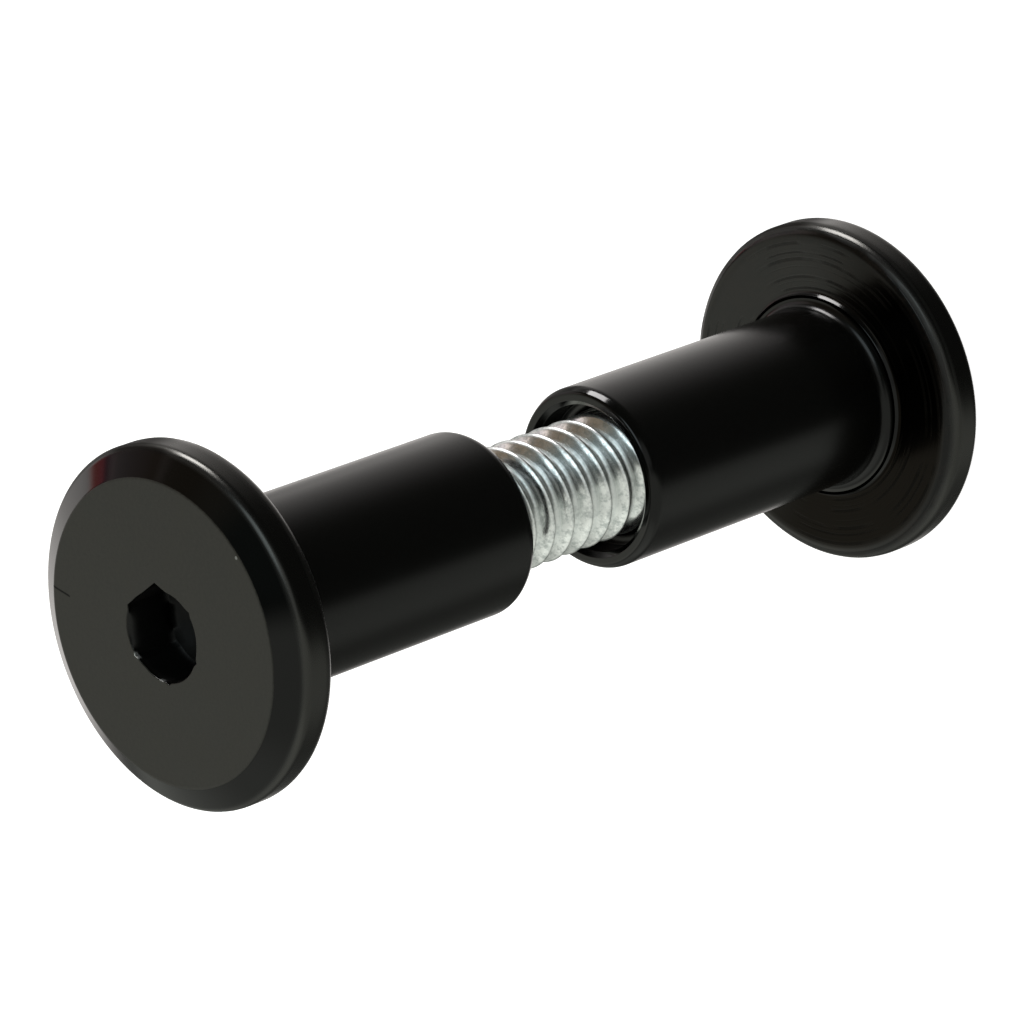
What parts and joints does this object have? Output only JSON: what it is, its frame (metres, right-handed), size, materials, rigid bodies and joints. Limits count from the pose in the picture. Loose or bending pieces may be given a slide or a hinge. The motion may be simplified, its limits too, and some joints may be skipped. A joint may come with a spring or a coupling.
{
  "type": "binding barrel screw",
  "caption": "Black flanged cap nuts with hex recesses, drawn together over a threaded stud to clamp panels or bind sheets between their heads.",
  "frame": {"origin": "middle of the rear cap nut's flat face, on which the screw stands", "axes": "+Z along the common axis, from the rear nut's face to the front nut's face"},
  "size_m": [0.017, 0.017, 0.0465],
  "materials": {
    "black_finish": "satin black finish on turned steel",
    "bright_zinc": "bright blue-white zinc plate on rolled steel thread"
  },
  "bodies": {
    "rear_nut": {"rear_barrel": "black_finish"},
    "stud": {"threaded_stud": "bright_zinc"},
    "front_nut": {"front_barrel": "black_finish"}
  },
  "joints": [
    {"name": "stud_travel", "type": "slide", "parent": "rear_nut", "child": "stud", "axis": [0, 0, 1], "range_m": [-0.00762, 0.00381]},
    {"name": "barrel_turn", "type": "hinge", "parent": "stud", "child": "front_nut", "pos_m": [0, 0, 0.0272], "axis": [0, 0, 1], "range_deg": [-2160, 1080]}
  ],
  "couplings": [
    {"joint": "stud_travel", "follows": "barrel_turn", "m_per_rad": 0.00020213}
  ]
}
